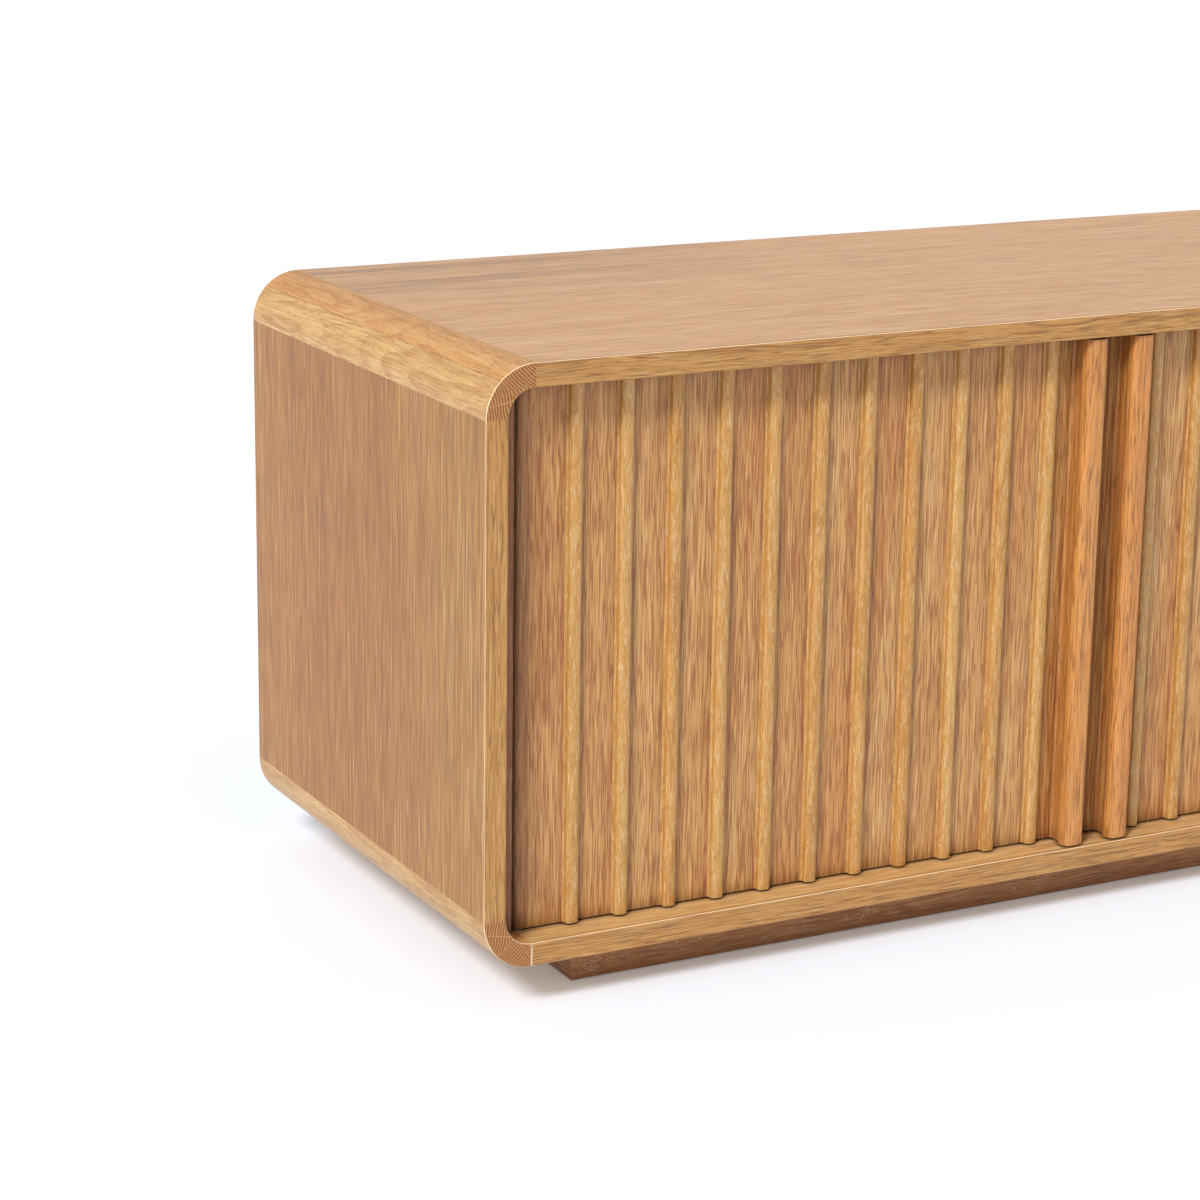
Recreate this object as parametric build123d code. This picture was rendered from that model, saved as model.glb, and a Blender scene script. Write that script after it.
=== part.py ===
from build123d import *
import os

# Media cabinet with rounded carcass corners, four ribbed inset doors and a recessed plinth.
# Lengths are in mm. X runs along the width, Y from front (-) to back (+), Z up from the floor.
# The origin is on the floor, under the middle of the carcass.

# Carcass
width = 2200.0
depth = 450.0
height = 500.0
board = 18.5
corner_radius = 40.0
arris = 1.0
lipping = 3.0

# Loose tongues glued in the corner joints and round the partition
tongue_thick = 4.0
tongue_wide = 16.0
tongue_stop = 60.0

# Back panels and their cable holes
back_thick = 6.0
back_inset = 10.0
back_groove = 6.0
cable_hole_radius = 30.0
cable_hole_drop = 130.0
grommet_bore_radius = 26.0
grommet_flange_radius = 34.0
grommet_flange = 2.0
drill_past = 10.0

# Plinth
plinth_height = 37.5
plinth_front_setback = 43.0
plinth_end_setback = 96.0
plinth_board = 18.0
glide_stand = 1.0
glide_thick = 3.0
glide_radius = 7.0
glide_columns = (-930.0, -310.0, 310.0, 930.0)
bearer_columns = (-750.0, -250.0, 250.0, 750.0)
block_leg = 45.0
screw_length = 38.0
screw_radius = 2.0
screw_head_radius = 4.5
screw_head = 3.0
screw_pocket = 12.0
pocket_clearance = 0.5
bearer_screw_inset = 60.0
block_screw_inset = 15.0

# Doors
door_recess = 28.0
door_thick = 20.0
door_gap_low = 1.2
door_gap_high = 1.8
side_gap = 1.8
end_margin = 36.3
meeting_gap = 2.0
edge_round = 8.0
outer_strip = 13.0
meeting_strip = 6.0
face_thick = 6.0

# Ribs planted on the doors
rib_count = 11
rib_first = 49.6
rib_pitch = 42.47
rib_half_base = 7.0
rib_half_bead = 5.4
rib_cove = 1.6
rib_stand = 6.4
rib_shoulder = 0.5
rib_crown = (0.72, 0.87)
cove_round = 1.3
tongue_half = 2.5

# Pulls
pull_inset = 21.5
pull_half_base = 7.8
pull_half_neck = 5.8
pull_half_head = 10.0
pull_cove = 2.0
pull_neck_length = 9.0
pull_head_start = 18.0
pull_stand = 25.5
pull_crown = (0.8, 0.94)

# Stiles beside and between the doors
stile_setback = 24.0
stile_depth = 20.0
centre_stile = 20.0
centre_stile_depth = 12.0

# Pivots at the top and bottom of every door
pivot_inset = 8.0
pin_radius = 3.0
pin_length = 12.0
pin_anchor_radius = 4.0
pin_anchor = 12.0
pin_flange_radius = 6.0
pin_flange = 0.8
bush_radius = 5.0
bush_length = 14.0
running_gap = 0.05

# Magnetic catches and their plates
catch_wide = 30.0
catch_deep = 14.0
catch_tall = 20.0
catch_inset = 30.0
strike_wide = 26.0
strike_tall = 12.0
strike_thick = 1.5
strike_drop = 4.0
catch_gap = 0.5

# Shelves
shelf_clear = 1.0
shelf_front = 62.0
shelf_underside = 260.0
peg_radius = 2.5
peg_half = 8.0
peg_spacing = 32.0
peg_rows = (-2, -1, 0, 1, 2)
peg_front = 110.0
peg_back = 370.0

# Planes worked out from the sizes above
left, right = -width / 2, width / 2
front, back = -depth / 2, depth / 2
base, top = plinth_height, height
in_left, in_right = left + board, right - board
in_base, in_top = base + board, top - board
inner_radius = corner_radius - board
panel_left, panel_right = left + corner_radius, right - corner_radius
side_low, side_high = base + corner_radius, top - corner_radius
face_y = front + door_recess
door_low, door_high = in_base + door_gap_low, in_top - door_gap_high
centre_margin = centre_stile / 2 + side_gap
door_wide = (width / 2 - end_margin - centre_margin - meeting_gap) / 2
pivot_y = face_y + pivot_inset
back_front = back - back_inset - back_thick


def block(x0, x1, y0, y1, z0, z1):
    middle = Pos((x0 + x1) / 2, (y0 + y1) / 2, (z0 + z1) / 2)
    return middle * Box(x1 - x0, y1 - y0, z1 - z0)


def rounded_block(x0, x1, y0, y1, z0, z1, radius):
    body = block(x0, x1, y0, y1, z0, z1)
    return fillet(body.edges().filter_by(Axis.Y), radius)


def prism_z(points, z0, z1):
    outline = make_face(Polyline(*points, close=True))
    return Pos(0, 0, z0) * extrude(outline, z1 - z0)


def prism_y(points, y0, y1):
    outline = make_face(Polyline(*points, close=True))
    return extrude(Plane.XZ.offset(-y1) * outline, y1 - y0)


def rod_z(x, y, z0, z1, radius):
    return Pos(x, y, (z0 + z1) / 2) * Cylinder(radius, z1 - z0)


def rod_x(x0, x1, y, z, radius):
    return Pos((x0 + x1) / 2, y, z) * Rot(0, 90, 0) * Cylinder(radius, x1 - x0)


def rod_y(x, y0, y1, z, radius):
    return Pos(x, (y0 + y1) / 2, z) * Rot(90, 0, 0) * Cylinder(radius, y1 - y0)


def save(name, solids):
    parts = solids if isinstance(solids, list) else [solids]
    shape = parts[0] if len(parts) == 1 else Compound(children=parts)
    export_step(shape, "parts/" + name + ".step")


def remove(body, tools):
    for tool in tools:
        body = body - tool
    return body


os.makedirs("parts", exist_ok=True)

# Carcass shell, with a small rounded arris round the front, cut up into its pieces below
shell = rounded_block(left, right, front, back, base, top, corner_radius)
room = rounded_block(in_left, in_right, front, back, in_base, in_top, inner_radius)
shell = shell - room
shell = fillet(shell.faces().sort_by(Axis.Y)[0].edges(), arris)

# Back panels, held in grooves all round
back_sheet = rounded_block(
    in_left - back_groove, in_right + back_groove,
    back_front, back_front + back_thick,
    in_base - back_groove, in_top + back_groove,
    inner_radius + back_groove,
)
web = board / 2 - back_groove
cable_z = in_top - cable_hole_drop
bay_middle = (in_right + board / 2) / 2
back_panels = {}
grommets = []
for side, sign in (("left", -1), ("right", 1)):
    x_inner, x_outer = sign * web, sign * (in_right + back_groove)
    bay = block(min(x_inner, x_outer), max(x_inner, x_outer), back_front, back, base, top)
    cable_x = sign * bay_middle
    hole = rod_y(cable_x, back_front - drill_past, back, cable_z, cable_hole_radius)
    back_panels[side] = (back_sheet & bay) - hole
    rear = back_front + back_thick
    sleeve = rod_y(cable_x, back_front, rear, cable_z, cable_hole_radius)
    flange = rod_y(cable_x, rear, rear + grommet_flange, cable_z, grommet_flange_radius)
    bore = rod_y(cable_x, back_front - drill_past, back, cable_z, grommet_bore_radius)
    grommets.append(sleeve + flange - bore)
grooves = [back_sheet]

# Loose tongues
half_thick, half_wide = tongue_thick / 2, tongue_wide / 2
tongue_front, tongue_back = front + tongue_stop, back - tongue_stop
tongues = []
for x in (panel_left, panel_right):
    for z in (base + board / 2, top - board / 2):
        tongues.append(block(x - half_wide, x + half_wide, tongue_front, tongue_back,
                             z - half_thick, z + half_thick))
for x in (left + board / 2, right - board / 2):
    for z in (side_low, side_high):
        tongues.append(block(x - half_thick, x + half_thick, tongue_front, tongue_back,
                             z - half_wide, z + half_wide))
for z in (in_base, in_top):
    tongues.append(block(-half_thick, half_thick, tongue_front, tongue_back,
                         z - half_wide, z + half_wide))

# Door pivots: one pin in the bottom panel and one in the top panel for each door
door_edges = {
    "door_1": (left + end_margin, 1),
    "door_2": (-centre_margin, -1),
    "door_3": (centre_margin, 1),
    "door_4": (right - end_margin, -1),
}
pins = []
anchors = []
for edge, sign in door_edges.values():
    x = edge + sign * pivot_inset
    for seat, way in ((in_base, 1), (in_top, -1)):
        def stage(near, far, radius):
            low, high = sorted((seat + way * near, seat + way * far))
            return rod_z(x, pivot_y, low, high, radius)
        anchor = stage(-pin_anchor, 0, pin_anchor_radius)
        flange = stage(0, pin_flange, pin_flange_radius)
        shaft = stage(pin_flange, door_gap_high + pin_length, pin_radius)
        pins.append(anchor + flange + shaft)
        anchors.append(anchor)

# Screws up through the plinth into the bottom panel
plinth_left, plinth_right = left + plinth_end_setback, right - plinth_end_setback
plinth_front, plinth_back = front + plinth_front_setback, back - plinth_front_setback
wood_left, wood_right = plinth_left + plinth_board, plinth_right - plinth_board
wood_front, wood_back = plinth_front + plinth_board, plinth_back - plinth_board
screw_spots = []
for x in bearer_columns:
    screw_spots += [(x, wood_front + bearer_screw_inset), (x, wood_back - bearer_screw_inset)]
for x, way in ((wood_left, 1), (wood_right, -1)):
    inner_x = x + way * block_screw_inset
    screw_spots += [(inner_x, wood_front + block_screw_inset), (inner_x, wood_back - block_screw_inset)]
screws = []
pockets = []
for x, y in screw_spots:
    head_z = glide_stand + screw_pocket
    head = rod_z(x, y, head_z, head_z + screw_head, screw_head_radius)
    shank = rod_z(x, y, head_z + screw_head, head_z + screw_length, screw_radius)
    screws.append(head + shank)
    pockets.append(rod_z(x, y, 0, head_z, screw_head_radius + pocket_clearance))

# Panels, lippings and side boards
top_region = block(panel_left, panel_right, front + lipping, back, top - board, top)
top_panel = remove(shell & top_region, grooves + tongues + anchors)
save("top_panel", top_panel)

base_region = block(panel_left, panel_right, front + lipping, back, base, base + board)
bottom_panel = remove(shell & base_region, grooves + tongues + anchors + screws)
save("bottom_panel", bottom_panel)

for name, z0 in (("lipping_top", top - board), ("lipping_bottom", base)):
    region = block(panel_left, panel_right, front, front + lipping, z0, z0 + board)
    save(name, shell & region)

peg_depths = (front + peg_front, front + peg_back)
peg_z = shelf_underside - peg_radius


def peg_holes(face_x):
    x0, x1 = face_x - peg_half, face_x + peg_half
    spots = [(y, peg_z + row * peg_spacing) for y in peg_depths for row in peg_rows]
    return [rod_x(x0, x1, y, z, peg_radius) for y, z in spots]


for side, x0, face_x in (("left", left, in_left), ("right", in_right, in_right)):
    x1 = x0 + board
    region = block(x0, x1, front + lipping, back, side_low, side_high)
    panel = remove(shell & region, grooves + tongues + peg_holes(face_x))
    save("side_panel_" + side, panel)
    strip = block(x0, x1, front, front + lipping, side_low, side_high)
    save("lipping_" + side, shell & strip)

# Corner rails, each glued up from two staves that meet at the middle of the curve
reach = corner_radius
for row, cz, up in (("top", side_high, 1), ("bottom", side_low, -1)):
    for side, cx, out in (("left", panel_left, -1), ("right", panel_right, 1)):
        middle = (cx + out * reach, cz + up * reach)
        flat_points = [(cx, cz), middle, (cx, cz + up * reach)]
        steep_points = [(cx, cz), (cx + out * reach, cz), middle]
        staves = []
        for points in (flat_points, steep_points):
            sector = prism_y(points, front, back)
            staves.append(remove(shell & sector, grooves + tongues + pins))
        save("corner_rail_" + row + "_" + side, staves)
save("corner_tongues", tongues)

# Centre partition and the stile on its front edge
partition_front = front + stile_setback
partition_start = partition_front + centre_stile_depth
partition = block(-board / 2, board / 2, partition_start, back, in_base, in_top)
holes = peg_holes(-board / 2) + peg_holes(board / 2)
holes = [hole & block(-board / 2, board / 2, front, back, base, top) for hole in holes]
partition = remove(partition, list(back_panels.values()) + tongues + holes)
save("centre_partition", partition)
half_stile = centre_stile / 2
lip = block(-half_stile, half_stile, partition_front, partition_start, in_base, in_top)
save("centre_stile", lip)

# Side stiles, shaped to the rounded inside corners
stile_back = partition_front + stile_depth
edge_l, edge_r = left + end_margin - side_gap, right - end_margin + side_gap
left_block = block(in_left, edge_l, partition_front, stile_back, in_base, in_top)
right_block = block(edge_r, in_right, partition_front, stile_back, in_base, in_top)
save("stile_left", room & left_block)
save("stile_right", room & right_block)

# Backs and grommets
save("back_panel_left", back_panels["left"])
save("back_panel_right", back_panels["right"])
save("cable_grommets", grommets)

# Shelves on pegs
shelf_y0, shelf_y1 = front + shelf_front, back_front - shelf_clear
pegs = []
for side, face_a, face_b in (("left", in_left, -board / 2), ("right", board / 2, in_right)):
    shelf = block(face_a + shelf_clear, face_b - shelf_clear, shelf_y0, shelf_y1,
                  shelf_underside, shelf_underside + board)
    save("shelf_" + side, shelf)
    for face_x in (face_a, face_b):
        for y in peg_depths:
            pegs.append(rod_x(face_x - peg_half, face_x + peg_half, y, peg_z, peg_radius))
save("shelf_pegs", pegs)

# Plinth boards, mitred at the corners
outer = [(plinth_left, plinth_front), (plinth_right, plinth_front),
         (plinth_right, plinth_back), (plinth_left, plinth_back)]
inner = [(wood_left, wood_front), (wood_right, wood_front),
         (wood_right, wood_back), (wood_left, wood_back)]
glide_rows = (plinth_front + plinth_board / 2, plinth_back - plinth_board / 2)
glides = [rod_z(x, y, 0, glide_thick, glide_radius) for x in glide_columns for y in glide_rows]
names = ("plinth_front", "plinth_end_right", "plinth_rear", "plinth_end_left")
for i, name in enumerate(names):
    j = (i + 1) % 4
    piece = prism_z([outer[i], outer[j], inner[j], inner[i]], glide_stand, plinth_height)
    save(name, remove(piece, glides))
save("plinth_glides", glides)

drilled = screws + pockets
bearers = []
for x in bearer_columns:
    rail = block(x - plinth_board / 2, x + plinth_board / 2, wood_front, wood_back,
                 glide_stand, plinth_height)
    bearers.append(remove(rail, drilled))
save("plinth_bearers", bearers)

blocks = []
for x, sx in ((wood_left, 1), (wood_right, -1)):
    for y, sy in ((wood_front, 1), (wood_back, -1)):
        corner = [(x, y), (x + sx * block_leg, y), (x, y + sy * block_leg)]
        wedge = prism_z(corner, glide_stand, plinth_height)
        blocks.append(remove(wedge, drilled))
save("plinth_blocks", blocks)
save("plinth_screws", screws)
save("pivot_pins", pins)


# Doors are drawn with u from the pivot edge to the meeting edge and v from the face backwards
def rib_face():
    # small coves at the base, then a bead with a full round front
    with BuildSketch() as sketch:
        with BuildLine():
            Line((0, face_thick), (tongue_half, face_thick))
            Line((tongue_half, face_thick), (tongue_half, 0))
            Line((tongue_half, 0), (rib_half_base, 0))
            RadiusArc((rib_half_base, 0), (rib_half_bead, -rib_cove), -rib_cove * cove_round)
            Line((rib_half_bead, -rib_cove), (rib_half_bead, -rib_stand * rib_shoulder))
            Spline((rib_half_bead, -rib_stand * rib_shoulder),
                   (rib_half_bead * rib_crown[0], -rib_stand * rib_crown[1]),
                   (0, -rib_stand), tangents=((0, -1), (-1, 0)))
            mirror(about=Plane.YZ)
        make_face()
    return sketch.sketch


def pull_face():
    # cove at the base, straight neck, flanks swelling to a wide soft-edged head
    with BuildSketch() as sketch:
        with BuildLine():
            Line((0, face_thick), (tongue_half, face_thick))
            Line((tongue_half, face_thick), (tongue_half, 0))
            Line((tongue_half, 0), (pull_half_base, 0))
            RadiusArc((pull_half_base, 0), (pull_half_neck, -pull_cove), -pull_cove * cove_round)
            Line((pull_half_neck, -pull_cove), (pull_half_neck, -pull_neck_length))
            Spline((pull_half_neck, -pull_neck_length), (pull_half_head, -pull_head_start),
                   tangents=((0, -1), (0, -1)))
            Spline((pull_half_head, -pull_head_start),
                   (pull_half_head * pull_crown[0], -pull_stand * pull_crown[1]),
                   (0, -pull_stand), tangents=((0, -1), (-1, 0)))
            mirror(about=Plane.YZ)
        make_face()
    return sketch.sketch


tall = door_high - door_low
rib_profile, pull_profile = rib_face(), pull_face()
rib_spots = [rib_first + i * rib_pitch for i in range(rib_count)]
pull_spot = door_wide - pull_inset
rib_bar = extrude(rib_profile, tall)
pull_bar = extrude(pull_profile, tall)


def hand(shape, edge, sign):
    turned = shape if sign > 0 else mirror(shape, about=Plane.YZ)
    return Pos(edge, face_y, door_low) * turned


bushes = []
bores = []
for z0, z1 in ((0, bush_length), (tall - bush_length, tall)):
    sleeve = rod_z(pivot_inset, pivot_inset, z0, z1, bush_radius)
    bores.append(sleeve)
    bushes.append(sleeve - rod_z(pivot_inset, pivot_inset, z0, z1, pin_radius + running_gap))

core = block(outer_strip, door_wide - meeting_strip, face_thick, door_thick, 0, tall)
core = remove(core, bores)

# staves run between the tongues of neighbouring ribs
joints = rib_spots + [pull_spot]
starts = [outer_strip] + [spot + tongue_half for spot in joints]
ends = [spot - tongue_half for spot in joints] + [door_wide - meeting_strip]
staves = [block(a, b, 0, face_thick, 0, tall) for a, b in zip(starts, ends)]
staves[0] = remove(staves[0], bores)

outer_edge = block(0, outer_strip, 0, door_thick, 0, tall)
corner_line = outer_edge.edges().filter_by(Axis.Z).sort_by(lambda e: e.center().X + e.center().Y)[0]
outer_edge = fillet(corner_line, edge_round)
outer_edge = remove(outer_edge, bores)
meeting_edge = block(door_wide - meeting_strip, door_wide, 0, door_thick, 0, tall)

strike_u = door_wide - catch_inset
strike_high = tall - strike_drop
strike = block(strike_u - strike_wide / 2, strike_u + strike_wide / 2,
               door_thick, door_thick + strike_thick, strike_high - strike_tall, strike_high)

catches = []
catch_y = face_y + door_thick + strike_thick + catch_gap
for name, (edge, sign) in door_edges.items():
    save(name + "_core", hand(core, edge, sign))
    save(name + "_staves", [hand(stave, edge, sign) for stave in staves])
    save(name + "_ribs", [hand(Pos(u, 0, 0) * rib_bar, edge, sign) for u in rib_spots])
    save(name + "_pull", hand(Pos(pull_spot, 0, 0) * pull_bar, edge, sign))
    save(name + "_edges", [hand(strip, edge, sign) for strip in (outer_edge, meeting_edge)])
    save(name + "_fittings", [hand(piece, edge, sign) for piece in bushes + [strike]])
    x = edge + sign * strike_u
    catches.append(block(x - catch_wide / 2, x + catch_wide / 2, catch_y, catch_y + catch_deep,
                         in_top - catch_tall, in_top))
save("magnetic_catches", catches)
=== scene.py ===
import math
import bpy
from mathutils import Matrix, Vector


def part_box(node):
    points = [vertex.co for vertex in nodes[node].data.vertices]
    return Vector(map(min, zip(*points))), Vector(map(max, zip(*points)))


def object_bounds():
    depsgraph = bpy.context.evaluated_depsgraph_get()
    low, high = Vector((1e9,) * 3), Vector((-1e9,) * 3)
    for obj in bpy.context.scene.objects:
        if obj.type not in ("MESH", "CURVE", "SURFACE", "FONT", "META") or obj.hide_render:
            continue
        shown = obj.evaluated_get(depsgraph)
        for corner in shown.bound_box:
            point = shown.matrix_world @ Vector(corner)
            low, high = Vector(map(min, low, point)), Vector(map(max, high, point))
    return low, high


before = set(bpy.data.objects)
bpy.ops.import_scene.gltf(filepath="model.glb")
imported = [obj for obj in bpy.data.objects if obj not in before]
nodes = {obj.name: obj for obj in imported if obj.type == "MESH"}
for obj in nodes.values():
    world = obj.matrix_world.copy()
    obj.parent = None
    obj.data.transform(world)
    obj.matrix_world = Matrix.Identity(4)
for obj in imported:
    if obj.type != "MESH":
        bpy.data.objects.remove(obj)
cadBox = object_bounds()
# inner faces of the corner rails and the height halfway between top and bottom, millimetres
lowRail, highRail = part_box("corner_rail_bottom_right"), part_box("corner_rail_top_right")
railInnerX, railInnerZ = highRail[0][0] * 1000, highRail[0][2] * 1000
middleZ = (lowRail[0][2] + highRail[1][2]) / 2 * 1000
scene = bpy.context.scene
print("frame loaded:", len(nodes), "pieces")


def linearColour(code):
    channels = [int(code[i:i + 2], 16) / 255 for i in (1, 3, 5)]
    curve = [c / 12.92 if c <= 0.04045 else ((c + 0.055) / 1.055) ** 2.4 for c in channels]
    return (*curve, 1.0)


# adds one node with its settings and links, and gives back the output asked for
def addNode(tree, kind, links=(), out=0, **settings):
    node = tree.nodes.new("ShaderNode" + kind)
    for name, value in settings.items():
        setattr(node, name, value)
    for name, value in links.items() if isinstance(links, dict) else enumerate(links):
        if isinstance(value, bpy.types.NodeSocket):
            tree.links.new(value, node.inputs[name])
        else:
            node.inputs[name].default_value = value
    return node.outputs[out] if node.outputs else None


def startMaterial(name):
    material = bpy.data.materials.new(name)
    material.use_nodes = True
    material.node_tree.nodes.clear()
    return material, material.node_tree


def endMaterial(tree, colour, height=None, bumpMm=0.1, **sockets):
    links = {"Base Color": colour}
    links.update({name.replace("_", " "): value for name, value in sockets.items()})
    if height is not None:
        links["Normal"] = addNode(tree, "Bump", {"Height": height, "Distance": bumpMm / 1000})
    addNode(tree, "OutputMaterial", (addNode(tree, "BsdfPrincipled", links),))


# places on the piece in millimetres, as three separate numbers
def millimetres(tree):
    place = addNode(tree, "TexCoord", out="Object")
    scaled = addNode(tree, "VectorMath", {0: place, "Scale": 1000.0}, operation="SCALE")
    return addNode(tree, "SeparateXYZ", (scaled,)).node.outputs


# the same places turned so that the third number runs along the grain, with the grain
# swaying a little, and every stick or board cut from its own spot in the tree
def grainSpace(tree, look, lot=None):
    mm = millimetres(tree)
    order = {"x": (1, 2, 0), "y": (0, 2, 1), "z": (0, 1, 2)}[look["along"]]
    turned = addNode(tree, "CombineXYZ", [mm[axis] for axis in order])
    moved = addNode(tree, "VectorMath", (turned, look["shift"]), operation="ADD")
    if lot is not None:
        jump = addNode(tree, "VectorMath", {0: (3100, 1700, 5300), "Scale": lot}, operation="SCALE")
        moved = addNode(tree, "VectorMath", (moved, jump), operation="ADD")
    sway = streaks(tree, moved, look["swayMm"], look["swayMm"] * 4, 1.0)
    slack = addNode(tree, "MapRange", (sway, 0.0, 1.0, -look["swayBy"], look["swayBy"]))
    aside = addNode(tree, "CombineXYZ", (slack, slack, 0.0))
    return addNode(tree, "VectorMath", (moved, aside), operation="ADD")


# cloudy noise drawn out along the grain, its grains sized in millimetres across and along
def streaks(tree, space, acrossMm, alongMm, detail=2.0, rough=0.5):
    size = (1 / acrossMm, 1 / acrossMm, 1 / alongMm)
    scaled = addNode(tree, "VectorMath", (space, size), operation="MULTIPLY")
    return addNode(tree, "TexNoise", {"Vector": scaled, "Scale": 1.0, "Detail": detail,
                                      "Roughness": rough})


# growth rings: cones round a leaning pith, which cut the face in cathedral arches
def growthRings(tree, look, space):
    part = addNode(tree, "SeparateXYZ", (space,)).node.outputs
    half = look["archMm"] / math.pi
    swing = addNode(tree, "Math", (part[0], 1 / half), operation="MULTIPLY")
    wave = addNode(tree, "Math", (swing,), operation="SINE")
    side = addNode(tree, "Math", (wave, half), operation="MULTIPLY")
    flat = addNode(tree, "CombineXYZ", (side, look["pithMm"], 0.0))
    reach = addNode(tree, "VectorMath", (flat,), out=1, operation="LENGTH")
    push = streaks(tree, space, look["archMm"] * 0.7, look["archMm"] * 3, 1.0)
    reach = addNode(tree, "Math", (push, look["archMm"] * 0.35, reach), operation="MULTIPLY_ADD")
    reach = addNode(tree, "Math", (part[2], look["lean"], reach), operation="MULTIPLY_ADD")
    turns = addNode(tree, "Math", (reach, 1 / look["ringMm"]), operation="MULTIPLY")
    fraction = addNode(tree, "Math", (turns,), operation="FRACT")
    return addNode(tree, "MapRange", (fraction, 0.35, 1.0), interpolation_type="SMOOTHSTEP")


# European oak, planed or moulded, under a satin clear lacquer: open pores show as short dark
# dashes, growth rings as soft bands and rays as pale flecks, and the lacquer gives a low sheen.
# Pores are really 0.3 mm wide; they are drawn near 1 mm wide so that they show.
def oakFace(tree, look, space, lot=None):
    tone = 0.5
    for layer, stretch in (("band", 14), ("line", 45), ("fibre", 24)):  # times longer than wide
        width, depth = look[layer]
        cloud = streaks(tree, space, width, width * stretch, 2.0, 0.55)
        centred = addNode(tree, "Math", (cloud, 0.5), operation="SUBTRACT")
        tone = addNode(tree, "Math", (centred, depth, tone), operation="MULTIPLY_ADD")
    if look.get("ringDepth"):
        ring = growthRings(tree, look, space)
        depth = -look["ringDepth"]
        if lot is not None and look.get("ringShare"):  # only some boards are cut flat enough to arch
            share = look["ringShare"]
            depth = addNode(tree, "MapRange", (lot, 1 - share, 1 - share + 0.05, 0.0, depth))
        tone = addNode(tree, "Math", (ring, depth, tone), operation="MULTIPLY_ADD")
    bar = addNode(tree, "ValToRGB", (tone,))
    stops = bar.node.color_ramp
    stops.elements[0].position, stops.elements[0].color = 0.15, linearColour(look["dark"])
    stops.elements[1].position, stops.elements[1].color = 0.85, linearColour(look["light"])
    stops.elements.new(0.5).color = linearColour(look["base"])
    colour = bar
    height = 0.0
    lineAt = {"vein": 0.5, "glint": 0.62}  # thin lines, where the cloud passes through this value
    for mark in ("pore", "fleck", "vein", "glint"):
        width, length, level, depth, code = look[mark]
        cloud = streaks(tree, space, width, length, 1.0, 0.5)
        if mark in lineAt:
            cloud = addNode(tree, "Math", (cloud, lineAt[mark]), operation="SUBTRACT")
            cloud = addNode(tree, "Math", (cloud,), operation="ABSOLUTE")
            pattern = addNode(tree, "MapRange", (cloud, level, level * 0.25, 0.0, depth))
        else:
            pattern = addNode(tree, "MapRange", (cloud, level, level + 0.1, 0.0, depth),
                              interpolation_type="SMOOTHSTEP")
        colour = addNode(tree, "Mix", {0: pattern, 6: colour, 7: linearColour(code)}, out=2,
                         data_type="RGBA")
        if mark in ("pore", "vein"):
            height = addNode(tree, "Math", (pattern, -1.0, height), operation="MULTIPLY_ADD")
    return colour, height


# how far a point of a corner rail lies past the glue line between its two staves, which
# runs outwards at 45 degrees from the rail's inner corner
def staveSide(tree):
    mm = millimetres(tree)
    across = addNode(tree, "Math", (mm[0],), operation="ABSOLUTE")
    up = addNode(tree, "Math", (mm[2], middleZ), operation="SUBTRACT")
    up = addNode(tree, "Math", (up,), operation="ABSOLUTE")
    gap = addNode(tree, "Math", (across, up), operation="SUBTRACT")
    return addNode(tree, "Math", (gap, railInnerX - railInnerZ + middleZ), operation="SUBTRACT")


# sawn ends of the rails and sticks: dark, with pale late wood rings crossed by finer rays.
# The pith lies outside the stick, so the rings cross it as gentle arcs.
endFigure = {"facing": (0.93, 0.97), "swayScale": 0.09, "swayRings": 1.2, "ringEdges": (0.22, 0.08),
             "rayScale": 45.0, "rayLevels": (0.58, 0.66), "rayDepth": 0.6, "dotScale": 0.7,
             "dotLevels": (0.3, 0.6), "dotFaint": 0.45, "jumpMm": (61.0, 83.0, 0.0)}


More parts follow.
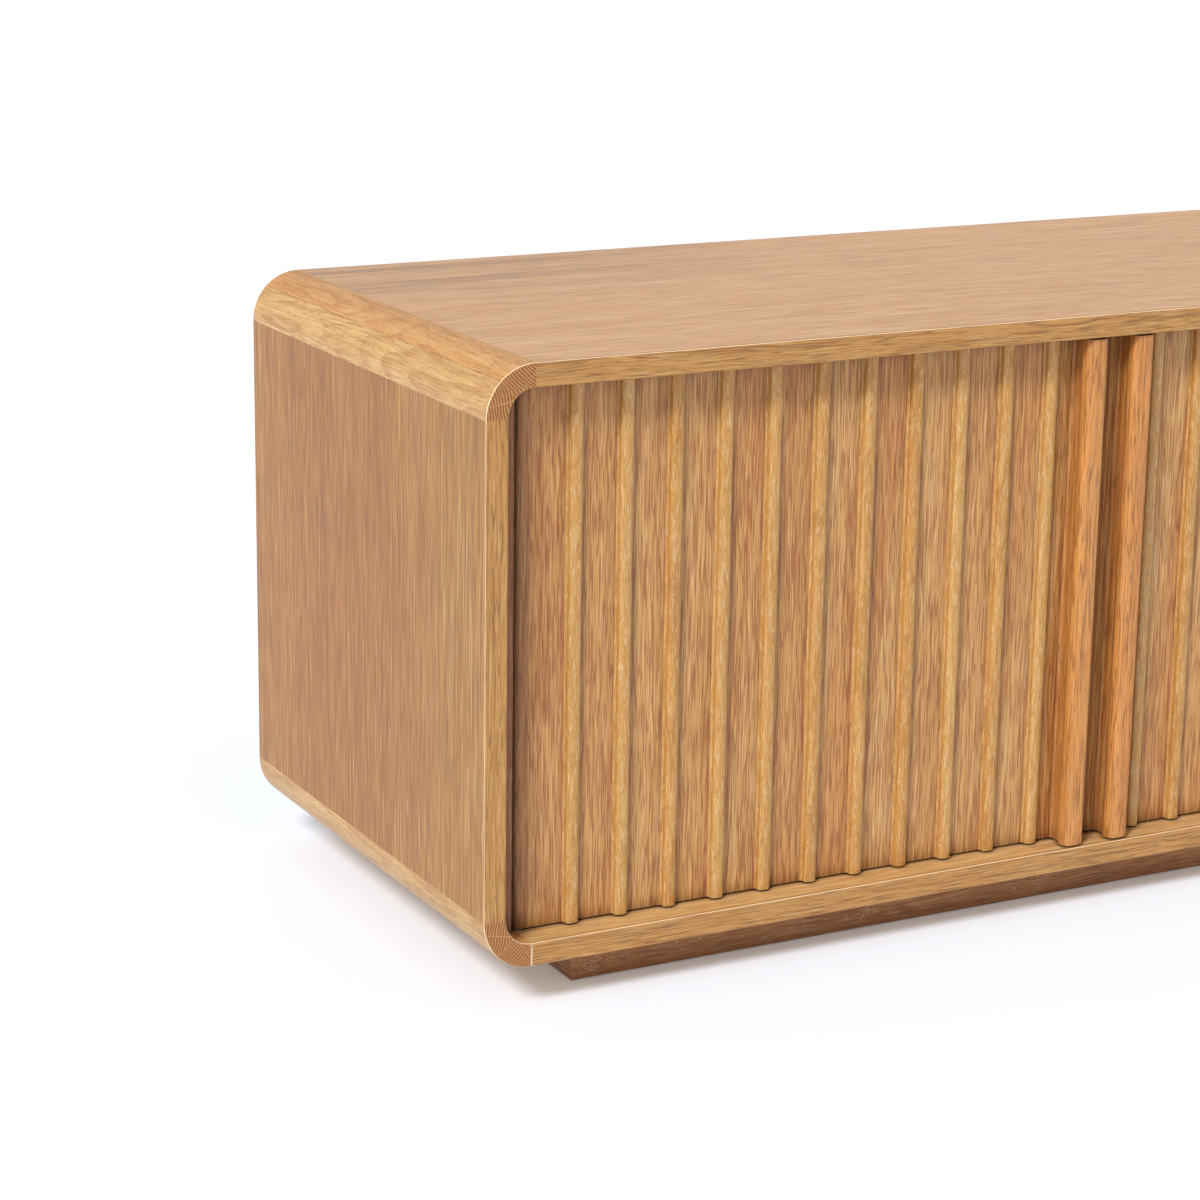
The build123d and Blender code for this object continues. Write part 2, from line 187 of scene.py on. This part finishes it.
def oakEnd(tree, look, colour, lot):
    ringMm = look["endRingMm"]
    along = look["along"]
    flat = {"x": (1, 2), "y": (0, 2), "z": (0, 1)}[along]
    mm = millimetres(tree)
    normal = addNode(tree, "TexCoord", out="Normal")
    facing = addNode(tree, "SeparateXYZ", (normal,)).node.outputs["xyz".index(along)]
    facing = addNode(tree, "Math", (facing,), operation="ABSOLUTE")
    mask = addNode(tree, "MapRange", (facing, *endFigure["facing"]))
    centre = addNode(tree, "CombineXYZ", (mm[flat[0]], mm[flat[1]], 0.0))
    if look.get("mirrored"):
        folded = addNode(tree, "VectorMath", (centre, (0.0, middleZ, 0.0)), operation="SUBTRACT")
        folded = addNode(tree, "VectorMath", (folded,), operation="ABSOLUTE")
        flatPith = addNode(tree, "VectorMath", (folded, look["pithFlat"]), operation="SUBTRACT")
        steepPith = addNode(tree, "VectorMath", (folded, look["pithSteep"]), operation="SUBTRACT")
        steep = addNode(tree, "MapRange", (staveSide(tree), -0.1, 0.1))
        spot = addNode(tree, "Mix", {0: steep, 4: flatPith, 5: steepPith}, out=1, data_type="VECTOR")
    else:
        jump = addNode(tree, "VectorMath", {0: endFigure["jumpMm"], "Scale": lot}, operation="SCALE")
        spot = addNode(tree, "VectorMath", (centre, jump), operation="ADD")
    wobble = addNode(tree, "TexNoise", {"Vector": spot, "Scale": endFigure["swayScale"], "Detail": 2.0})
    reach = addNode(tree, "VectorMath", (spot,), out=1, operation="LENGTH")
    sway = ringMm * endFigure["swayRings"]
    reach = addNode(tree, "Math", (wobble, sway, reach), operation="MULTIPLY_ADD")
    turns = addNode(tree, "Math", (reach, 1 / ringMm), operation="MULTIPLY")
    late = addNode(tree, "Math", (turns,), operation="FRACT")
    late = addNode(tree, "Math", (late, 0.5), operation="SUBTRACT")
    late = addNode(tree, "Math", (late,), operation="ABSOLUTE")
    line = addNode(tree, "MapRange", (late, *endFigure["ringEdges"], 0.0, 1.0),
                   interpolation_type="SMOOTHSTEP")
    halves = addNode(tree, "SeparateXYZ", (spot,)).node.outputs
    angle = addNode(tree, "Math", (halves[1], halves[0]), operation="ARCTAN2")
    rays = addNode(tree, "CombineXYZ", (angle, 0.0, 0.0))
    raySize = addNode(tree, "VectorMath", {0: rays, "Scale": endFigure["rayScale"]},
                      operation="SCALE")
    ray = addNode(tree, "TexNoise", {"Vector": raySize, "Scale": 1.0, "Detail": 1.0})
    rayLine = addNode(tree, "MapRange", (ray, *endFigure["rayLevels"], 0.0, endFigure["rayDepth"]))
    both = addNode(tree, "Math", (line, rayLine), operation="MAXIMUM")
    dots = addNode(tree, "TexNoise", {"Vector": centre, "Scale": endFigure["dotScale"], "Detail": 1.0})
    dots = addNode(tree, "MapRange", (dots, *endFigure["dotLevels"], endFigure["dotFaint"], 1.0))
    both = addNode(tree, "Math", (both, dots), operation="MULTIPLY")
    sawn = addNode(tree, "Mix", {0: both, 6: linearColour(look["endDark"]),
                                 7: linearColour(look["endLight"])}, out=2, data_type="RGBA")
    return addNode(tree, "Mix", {0: mask, 6: colour, 7: sawn}, out=2, data_type="RGBA")


# painted highlight: pale cream on the eased front edges that face up or outwards, and a pale cream line on
# the front of the joint where the bottom lipping meets the corner rails
edgeHighlightLook = {"colour": "#FBE6C8", "reachMm": 0.6, "fullMm": 0.45, "jointMm": 0.9,
             "jointFullMm": 0.4, "jointDepth": 0.8, "jointHeights": (60.0, 50.0)}


def paintedEdgeHighlight(tree, look, colour):
    mm = millimetres(tree)
    normal = addNode(tree, "SeparateXYZ", (addNode(tree, "TexCoord", out="Normal"),)).node.outputs
    side = addNode(tree, "Math", (mm[0],), operation="SIGN")
    outward = addNode(tree, "Math", (normal[0], side), operation="MULTIPLY")
    outward = addNode(tree, "Math", (outward, normal[2]), operation="MAXIMUM")
    outward = addNode(tree, "MapRange", (outward, 0.35, 0.6))
    front = cadBox[0][1] * 1000
    near = addNode(tree, "MapRange", (mm[1], front + edgeHighlightLook["reachMm"], front + edgeHighlightLook["fullMm"]))
    mask = addNode(tree, "Math", (outward, near), operation="MULTIPLY")
    along = addNode(tree, "Math", (mm[0],), operation="ABSOLUTE")
    joint = addNode(tree, "Math", (along, railInnerX), operation="SUBTRACT")
    joint = addNode(tree, "Math", (joint,), operation="ABSOLUTE")
    joint = addNode(tree, "MapRange", (joint, edgeHighlightLook["jointMm"], edgeHighlightLook["jointFullMm"], 0.0,
                                       edgeHighlightLook["jointDepth"]))
    low = addNode(tree, "MapRange", (mm[2], *edgeHighlightLook["jointHeights"]))
    frontal = addNode(tree, "MapRange", (normal[1], -0.8, -0.95))
    joint = addNode(tree, "Math", (joint, low), operation="MULTIPLY")
    joint = addNode(tree, "Math", (joint, frontal), operation="MULTIPLY")
    mask = addNode(tree, "Math", (mask, joint), operation="MAXIMUM")
    mask = addNode(tree, "Math", (mask, look["edgeShine"]), operation="MULTIPLY")
    return addNode(tree, "Mix", {0: mask, 6: colour, 7: linearColour(edgeHighlightLook["colour"])}, out=2,
                   data_type="RGBA")


# painted shade: the wood is darkened towards the corner colour where ambient occlusion finds corners, gaps
# and recesses
def paintedCornerShade(tree, look, colour):
    openness = addNode(tree, "AmbientOcclusion", {"Distance": look["cornerMm"] / 1000}, out="AO", samples=6)
    mask = addNode(tree, "MapRange", (openness, 0.15, 0.95, look["cornerDepth"], 0.0))
    return addNode(tree, "Mix", {0: mask, 6: colour, 7: linearColour(look["corner"])}, out=2,
                   data_type="RGBA", blend_type="MULTIPLY")


def oakMaterial(name, look):
    material, tree = startMaterial(name)
    lot = addNode(tree, "NewGeometry", out="Random Per Island")
    space = grainSpace(tree, look, lot if look.get("perStick") else None)
    colour, height = oakFace(tree, look, space, lot)
    if look.get("perStick"):
        swing = addNode(tree, "MapRange", (lot, 0.0, 1.0, 0.0, look["perStick"]))
        colour = addNode(tree, "Mix", {0: swing, 6: colour, 7: linearColour(look["stickTint"])}, out=2,
                         data_type="RGBA", blend_type="MULTIPLY")
    if look.get("zone"):
        colour = look["zone"](tree, look, colour)
    colour = oakEnd(tree, look, colour, lot)
    if look.get("edgeShine"):
        colour = paintedEdgeHighlight(tree, look, colour)
    colour = paintedCornerShade(tree, look, colour)
    endMaterial(tree, colour, height, look["bumpMm"], Roughness=look["rough"], IOR=1.5)
    return material


# darker zebra streaks in the veneer near the back left corner of the top
zebraLook = {"colour": "#8A6A55", "fadeX": (620, 60), "fadeY": (230, 60), "barMm": (9.0, 260.0),
             "levels": (0.44, 0.6), "depths": (0.12, 0.62)}


def zebraCorner(tree, look, colour):
    mm = millimetres(tree)
    fadeX = [cadBox[0][0] * 1000 + reach for reach in zebraLook["fadeX"]]
    fadeY = [cadBox[1][1] * 1000 - reach for reach in zebraLook["fadeY"]]
    aside = addNode(tree, "MapRange", (mm[0], *fadeX), interpolation_type="SMOOTHSTEP")
    behind = addNode(tree, "MapRange", (mm[1], *fadeY), interpolation_type="SMOOTHSTEP")
    zone = addNode(tree, "Math", (aside, behind), operation="MULTIPLY")
    bars = streaks(tree, grainSpace(tree, look), *zebraLook["barMm"], 2.0, 0.5)
    bars = addNode(tree, "MapRange", (bars, *zebraLook["levels"], *zebraLook["depths"]),
                   interpolation_type="SMOOTHSTEP")
    mask = addNode(tree, "Math", (zone, bars), operation="MULTIPLY")
    return addNode(tree, "Mix", {0: mask, 6: colour, 7: linearColour(zebraLook["colour"])}, out=2,
                   data_type="RGBA")


# the end panels are faced with leaves of veneer, from the front edge (0) to the back (1):
# yellower at the front, redder in the middle
leafTints = ((0.0, "#FFFFDE"), (0.17, "#FFFDDA"), (0.21, "#FAF0D4"), (0.36, "#FFF6D8"),
             (0.42, "#F6E4C4"), (0.6, "#FFF0D2"), (0.66, "#F6E6C8"), (0.88, "#FFF4DA"))
lastLeafTint = "#FFF6E2"


def veneerLeaves(tree, look, colour):
    mm = millimetres(tree)
    front, back = cadBox[0][1] * 1000, cadBox[1][1] * 1000
    depth = addNode(tree, "MapRange", (mm[1], front, back))
    bar = addNode(tree, "ValToRGB", (depth,))
    stops = bar.node.color_ramp
    for at, code in leafTints:
        spot = stops.elements.new(at) if at else stops.elements[0]
        spot.color = linearColour(code)
    stops.elements[len(leafTints)].color = linearColour(lastLeafTint)
    return addNode(tree, "Mix", {0: 1.0, 6: colour, 7: bar}, out=2, data_type="RGBA",
                   blend_type="MULTIPLY")


# a rail is two staves glued at the middle of its curve: a fine dark glue line, and the flat
# stave a shade pinker
glueLook = {"pink": "#FFEFE6", "pinkFadeMm": 0.4, "line": "#7A4A28", "lineMm": 0.9,
            "lineFullMm": 0.3, "lineDepth": 0.75, "brokenScale": 0.02, "brokenLevels": (0.42, 0.56)}


def glueLine(tree, look, colour):
    mm = millimetres(tree)
    gap = staveSide(tree)
    pink = addNode(tree, "MapRange", (gap, glueLook["pinkFadeMm"], -glueLook["pinkFadeMm"]))
    colour = addNode(tree, "Mix", {0: pink, 6: colour, 7: linearColour(glueLook["pink"])}, out=2,
                     data_type="RGBA", blend_type="MULTIPLY")
    width = addNode(tree, "Math", (gap,), operation="ABSOLUTE")
    line = addNode(tree, "MapRange", (width, glueLook["lineMm"], glueLook["lineFullMm"], 0.0,
                                      glueLook["lineDepth"]))
    length = addNode(tree, "CombineXYZ", (mm[1], 0.0, 0.0))
    broken = addNode(tree, "TexNoise", {"Vector": length, "Scale": glueLook["brokenScale"],
                                        "Detail": 3.0})
    shown = addNode(tree, "MapRange", (broken, *glueLook["brokenLevels"]))
    mask = addNode(tree, "Math", (line, shown), operation="MULTIPLY")
    return addNode(tree, "Mix", {0: mask, 6: colour, 7: linearColour(glueLook["line"])}, out=2,
                   data_type="RGBA")


# a plinth gets knocked by feet and brooms: patches of short pale scuffs
scuffLook = {"colour": "#D8BE9A", "patchMm": (26.0, 70.0), "patchLevels": (0.57, 0.68),
             "scratchMm": (0.8, 4.0), "scratchLevels": (0.57, 0.66), "depth": 0.5}


def footScuffs(tree, look, colour):
    space = grainSpace(tree, look)
    patch = streaks(tree, space, *scuffLook["patchMm"], 1.0)
    patch = addNode(tree, "MapRange", (patch, *scuffLook["patchLevels"]))
    scratch = streaks(tree, space, *scuffLook["scratchMm"], 1.0)
    scratch = addNode(tree, "MapRange", (scratch, *scuffLook["scratchLevels"], 0.0,
                                         scuffLook["depth"]))
    mask = addNode(tree, "Math", (patch, scratch), operation="MULTIPLY")
    return addNode(tree, "Mix", {0: mask, 6: colour, 7: linearColour(scuffLook["colour"])}, out=2,
                   data_type="RGBA")


# Widths and lengths in the looks are millimetres. Band, line and fibre are width and strength.
# Pore, fleck, vein and glint are width, length, level, strength and colour: pores and flecks
# show above their level, and a vein or glint is a thin line, wider with a higher level.
# Corner, cornerMm and cornerDepth set the painted shade in corners and gaps: its colour, reach and
# strength.
oakTop = {  # rift veneer along the top: pinkish tan with fine level lines
    "along": "x", "shift": (300, 100, 0), "dark": "#BB8A5D", "base": "#D19E6E", "light": "#E1B282",
    "band": (20, 0.6), "line": (1.6, 0.9), "fibre": (0.8, 0.6),
    "pore": (0.8, 26, 0.56, 0.4, "#AE7952"), "fleck": (0.9, 46, 0.6, 0.4, "#F1CD9A"),
    "vein": (2.4, 120, 0.05, 0.5, "#9E7150"), "glint": (2.0, 110, 0.05, 0.5, "#EBCDA4"),
    "swayMm": 60, "swayBy": 4.0, "zone": zebraCorner, "rough": 0.38, "bumpMm": 0.05,
    "endDark": "#8A5F3D", "endLight": "#A97B55", "endRingMm": 3.0,
    "corner": "#8A5A38", "cornerMm": 30, "cornerDepth": 0.6,
}
oakSide = dict(  # straight upright veneer on the ends
    oakTop, along="z", shift=(0, 0, 400), dark="#8D5B21", base="#A57131", light="#B2813B",
    band=(30, 0.5), line=(1.5, 1.3), fibre=(0.9, 0.9), pore=(0.9, 30, 0.53, 0.6, "#80511B"),
    fleck=(1.0, 36, 0.58, 0.45, "#BF9246"),
    vein=(1.9, 120, 0.07, 0.6, "#7A4D28"), glint=(1.8, 110, 0.06, 0.5, "#CDA878"),
    swayMm=50, swayBy=2.0, zone=veneerLeaves, rough=0.42)
oakInside = dict(  # bottom and shelves: golden veneer, with painted shade near black in the narrow gap under a door
    oakTop, shift=(200, 500, 100), dark="#B1854F", base="#CEA165", light="#DBB57D", zone=None,
    corner="#1A0D06", cornerMm=6, cornerDepth=0.97)
oakPanel = dict(oakSide, shift=(700, 200, 0), zone=None, cornerMm=20)
oakStave = {  # rift-cut staves of the doors: reddish tan, thick with short dark pores
    "along": "z", "shift": (100, 0, 0), "dark": "#AD733A", "base": "#C59758", "light": "#D6AB6D",
    "band": (14, 0.4), "line": (1.2, 0.6), "fibre": (0.8, 0.5),
    "pore": (0.8, 30, 0.54, 0.45, "#985925"), "fleck": (0.9, 40, 0.58, 0.25, "#DEB77A"),
    "vein": (1.7, 60, 0.09, 0.7, "#8A4C24"), "glint": (1.9, 60, 0.07, 0.35, "#E2BC8A"),
    "swayMm": 24, "swayBy": 1.6, "ringDepth": 0.18, "ringShare": 0.3, "archMm": 42, "pithMm": 9,
    "lean": 0.03, "ringMm": 3.6, "perStick": 0.75, "stickTint": "#F6E0CC", "rough": 0.42,
    "bumpMm": 0.06, "endDark": "#7A4F2E", "endLight": "#9A6B42", "endRingMm": 3.0,
    "corner": "#5A2A12", "cornerMm": 13, "cornerDepth": 0.75,
}
oakRib = dict(  # moulded beads, yellow tan, with squiggles of pale ray fleck
    oakStave, shift=(700, 200, 0), dark="#A77634", base="#C08F4C", light="#CFA866",
    band=(9, 0.4), line=(1.4, 0.4), fibre=(0.8, 0.4), pore=(0.7, 5, 0.57, 0.4, "#915D25"),
    fleck=(0.8, 12, 0.57, 0.3, "#E3C488"),
    vein=(1.6, 36, 0.06, 0.3, "#92602E"), glint=(1.4, 20, 0.06, 0.3, "#EFD8AE"),
    swayMm=8, swayBy=2.4, ringDepth=0.2, ringShare=0.6, archMm=18, perStick=0.6,
    stickTint="#F6E2C4", bumpMm=0.02, cornerMm=8, cornerDepth=0.15)
oakLevel = {  # solid lippings along the width, with dark slanting lines
    "along": "x", "shift": (400, 300, 200), "dark": "#96632B", "base": "#B68344", "light": "#C89858",
    "band": (7, 0.4), "line": (1.6, 0.5), "fibre": (0.8, 0.4),
    "pore": (0.8, 18, 0.56, 0.5, "#815020"), "fleck": (0.8, 20, 0.6, 0.35, "#D4AB6B"),
    "vein": (2.6, 110, 0.05, 0.6, "#74451C"), "glint": (2.2, 90, 0.05, 0.25, "#D2AE7C"),
    "swayMm": 30, "swayBy": 4.0, "edgeShine": 0.75, "rough": 0.42, "bumpMm": 0.08,
    "endDark": "#7A4F2E", "endLight": "#9A6B42", "endRingMm": 3.0,
    "corner": "#6A3A1C", "cornerMm": 20, "cornerDepth": 0.6,
}
oakUpright = dict(oakLevel, along="z", shift=(900, 100, 600), edgeShine=0.4)
oakStile = dict(  # filler strips beside the doors: darker colours that paint the shade they stand in, with painted shade darkest in the gap
    oakUpright, shift=(350, 250, 0), dark="#7A3E1B", base="#95572B", light="#A86A38", edgeShine=0,
    corner="#40180A", cornerMm=24, cornerDepth=0.75)
# door edges: painted shade, near black, deep in the narrow gaps round the doors
oakDoorEdge = dict(oakUpright, shift=(50, 650, 0), dark="#8C5426", base="#AC7038", light="#BE8547",
                   edgeShine=0, corner="#3A1C0C", cornerDepth=0.9)
oakPull = dict(oakUpright, shift=(500, 400, 0), dark="#A76329", base="#C88642", light="#DBA05B",
               edgeShine=0, perStick=0.4, stickTint="#F6DCC4", corner="#5A2F18", cornerMm=14,
               cornerDepth=0.6)
oakRail = dict(  # solid corner rails: golden, with a faint arched figure
    oakLevel, along="y", shift=(150, 220, 0), dark="#AD7C42", base="#C89E64", light="#D5B37B",
    band=(16, 0.45), line=(1.8, 0.6), pore=(0.9, 8, 0.56, 0.5, "#9D6E3A"), ringDepth=0.2,
    vein=(2.8, 80, 0.05, 0.4, "#9A6A38"), glint=(2.4, 70, 0.05, 0.25, "#EBCB98"),
    archMm=60, pithMm=14, lean=0.04, ringMm=4.2, zone=glueLine, mirrored=True,
    pithFlat=(1000, 300, 0), pithSteep=(1200, 180, 0),  # piths, out and up from the middle
    endRingMm=2.3, endDark="#8C5426", endLight="#C8965A", edgeShine=0.75)
oakPlinth = dict(oakLevel, shift=(800, 600, 300), dark="#7C4A22", base="#9C6432", light="#B27A42",
                 pore=(1.2, 22, 0.56, 0.5, "#75370B"), zone=footScuffs, edgeShine=0, rough=0.5)
oakPlinthEnd = dict(oakPlinth, along="y")

materials = {}
for name, look in (("satinOakTop", oakTop), ("satinOakSide", oakSide), ("satinOakInside", oakInside),
                   ("satinOakPanel", oakPanel), ("satinOakStave", oakStave), ("satinOakRib", oakRib),
                   ("satinOakLevel", oakLevel), ("satinOakUpright", oakUpright),
                   ("satinOakStile", oakStile), ("satinOakDoorEdge", oakDoorEdge),
                   ("satinOakPull", oakPull), ("satinOakRail", oakRail),
                   ("satinOakPlinth", oakPlinth), ("satinOakPlinthEnd", oakPlinthEnd)):
    materials[name] = oakMaterial(name, look)
print("oak finishes made:", len(materials))


# birch plywood faced with oak: thin layers, pale and brown in turn, show on its edges
def veneeredPlywood():
    look = dict(oakPanel, layerMm=1.4, pale="#CDB084", brown="#A07C50")
    material, tree = startMaterial("birchPlywood")
    mm = millimetres(tree)
    turns = addNode(tree, "Math", (mm[1], 0.5 / look["layerMm"]), operation="MULTIPLY")
    layer = addNode(tree, "Math", (turns,), operation="FRACT")
    layer = addNode(tree, "MapRange", (layer, 0.45, 0.55))
    edge = addNode(tree, "Mix", {0: layer, 6: linearColour(look["pale"]),
                                 7: linearColour(look["brown"])}, out=2, data_type="RGBA")
    face, height = oakFace(tree, look, grainSpace(tree, look))
    normal = addNode(tree, "TexCoord", out="Normal")
    frontal = addNode(tree, "SeparateXYZ", (normal,)).node.outputs[1]
    frontal = addNode(tree, "Math", (frontal,), operation="ABSOLUTE")
    flat = addNode(tree, "MapRange", (frontal, 0.5, 0.7))
    colour = addNode(tree, "Mix", {0: flat, 6: edge, 7: face}, out=2, data_type="RGBA")
    endMaterial(tree, colour, height, 0.05, Roughness=0.5, IOR=1.5)
    return material


# zinc-plated steel: bluish grey, with faint drawn lines. They are really near 0.05 mm apart
# and are drawn 0.5 mm apart so that they show.
def zincPlatedSteel():
    look = dict(oakPanel, lineMm=0.5, pale="#C9CACB", dark="#9A9B9C")
    material, tree = startMaterial("zincPlatedSteel")
    lines = streaks(tree, grainSpace(tree, look), look["lineMm"], 20.0)
    colour = addNode(tree, "Mix", {0: lines, 6: linearColour(look["dark"]),
                                   7: linearColour(look["pale"])}, out=2, data_type="RGBA")
    endMaterial(tree, colour, lines, 0.02, Metallic=1.0, Roughness=0.34)
    return material


# injection-moulded plastic, matt from a spark-eroded mould. The grit is really near 0.05 mm
# and is drawn at 0.7 mm so that it shows.
def mouldedPlastic(name, look):
    material, tree = startMaterial(name)
    place = addNode(tree, "TexCoord", out="Object")
    grit = addNode(tree, "TexNoise", {"Vector": place, "Scale": 1000 / look["gritMm"], "Detail": 2.0})
    colour = addNode(tree, "Mix", {0: grit, 6: linearColour(look["dark"]),
                                   7: linearColour(look["pale"])}, out=2, data_type="RGBA")
    endMaterial(tree, colour, grit, 0.03, Roughness=look["rough"], IOR=1.5)
    return material


materials["birchPlywood"] = veneeredPlywood()
materials["zincPlatedSteel"] = zincPlatedSteel()
blackAbs = {"dark": "#19191A", "pale": "#242426", "gritMm": 0.7, "rough": 0.5}
greyNylon = {"dark": "#646466", "pale": "#757577", "gritMm": 0.7, "rough": 0.45}
materials["blackAbs"] = mouldedPlastic("blackAbs", blackAbs)
materials["greyNylon"] = mouldedPlastic("greyNylon", greyNylon)

# which finish each piece wears: a key is the start of its name, or the end if it begins with _
finishes = {
    "top_panel": "satinOakTop", "bottom_panel": "satinOakInside", "side_panel": "satinOakSide",
    "lipping_top": "satinOakLevel", "lipping_bottom": "satinOakLevel", "lipping_": "satinOakUpright",
    "corner_rail": "satinOakRail", "corner_tongues": "birchPlywood",
    "centre_partition": "satinOakPanel", "centre_stile": "satinOakStile",
    "stile_": "satinOakStile", "back_panel": "satinOakPanel", "cable_grommets": "blackAbs",
    "shelf_left": "satinOakInside", "shelf_right": "satinOakInside", "shelf_pegs": "zincPlatedSteel",
    "plinth_front": "satinOakPlinth", "plinth_rear": "satinOakPlinth",
    "plinth_end": "satinOakPlinthEnd", "plinth_bearers": "birchPlywood",
    "plinth_blocks": "birchPlywood", "plinth_screws": "zincPlatedSteel",
    "plinth_glides": "greyNylon", "pivot_pins": "zincPlatedSteel", "magnetic_catches": "greyNylon",
    "_core": "birchPlywood", "_staves": "satinOakStave", "_ribs": "satinOakRib",
    "_pull": "satinOakPull", "_edges": "satinOakDoorEdge", "_fittings": "zincPlatedSteel",
}
for name, piece in nodes.items():
    key = next(k for k in finishes if (name.endswith(k) if k[0] == "_" else name.startswith(k)))
    piece.data.materials.clear()
    piece.data.materials.append(materials[finishes[key]])
print("finishes put on")

floorLook = {"size": 80.0, "colour": "#E4EAF4", "rough": 0.9, "glow": 0.13}
floorMesh = bpy.data.meshes.new("studioFloor")
half = floorLook["size"] / 2
corners = [(-half, -half, 0), (half, -half, 0), (half, half, 0), (-half, half, 0)]
floorMesh.from_pydata(corners, [], [(0, 1, 2, 3)])
studioFloor = bpy.data.objects.new("studioFloor", floorMesh)
scene.collection.objects.link(studioFloor)
floorMaterial, floorTree = startMaterial("paintedCove")
endMaterial(floorTree, linearColour(floorLook["colour"]), Roughness=floorLook["rough"],
            Emission_Color=(1, 1, 1, 1), Emission_Strength=floorLook["glow"])
floorMesh.materials.append(floorMaterial)

lightLooks = [
    {"name": "skylight", "kind": "SUN", "place": (-2.25, -1.1, 1.7), "aim": (-0.7, 0.0, 0.0),
     "power": 2.8, "spread": 14},
    {"name": "leftSoftbox", "kind": "AREA", "place": (-3.4, -2.6, 1.7), "aim": (-0.9, 0.0, 0.25),
     "power": 5, "size": 1.2},
]
for look in lightLooks:
    lamp = bpy.data.lights.new(look["name"], look["kind"])
    lamp.energy = look["power"]
    if look["kind"] == "SUN":
        lamp.angle = math.radians(look["spread"])
    else:
        lamp.shape, lamp.size = "SQUARE", look["size"]
    holder = bpy.data.objects.new(look["name"], lamp)
    holder.location = look["place"]
    way = Vector(look["aim"]) - Vector(look["place"])
    holder.rotation_euler = way.to_track_quat("-Z", "Y").to_euler()
    scene.collection.objects.link(holder)

airLook = {"colour": (1, 1, 1, 1), "glow": 0.55}
world = bpy.data.worlds.new("studioAir")
scene.world = world
world.use_nodes = True
world.node_tree.nodes["Background"].inputs[0].default_value = airLook["colour"]
world.node_tree.nodes["Background"].inputs[1].default_value = airLook["glow"]
scene.view_settings.view_transform = "Standard"

cameraLook = {"place": (-2.0683, -2.2472, 0.9310), "yaw": 27.99, "pitch": 14.48, "roll": 0.834,
              "lens": 95.97, "sensor": 36.0, "shiftX": -0.0127, "shiftY": -0.0258}
yaw, pitch, roll = (math.radians(cameraLook[k]) for k in ("yaw", "pitch", "roll"))
ahead = Vector((math.sin(yaw) * math.cos(pitch), math.cos(yaw) * math.cos(pitch), -math.sin(pitch)))
level = Vector((math.cos(yaw), -math.sin(yaw), 0))
upright = level.cross(ahead)
rightWay = math.cos(roll) * level + math.sin(roll) * upright
upWay = -math.sin(roll) * level + math.cos(roll) * upright
turn = Matrix((rightWay, upWay, -ahead)).transposed()
lens = bpy.data.cameras.new("studioCamera")
lens.lens, lens.sensor_width = cameraLook["lens"], cameraLook["sensor"]
lens.shift_x, lens.shift_y = cameraLook["shiftX"], cameraLook["shiftY"]
camera = bpy.data.objects.new("studioCamera", lens)
camera.matrix_world = Matrix.Translation(cameraLook["place"]) @ turn.to_4x4()
scene.collection.objects.link(camera)
scene.camera = camera
print("floor, lights and camera set")
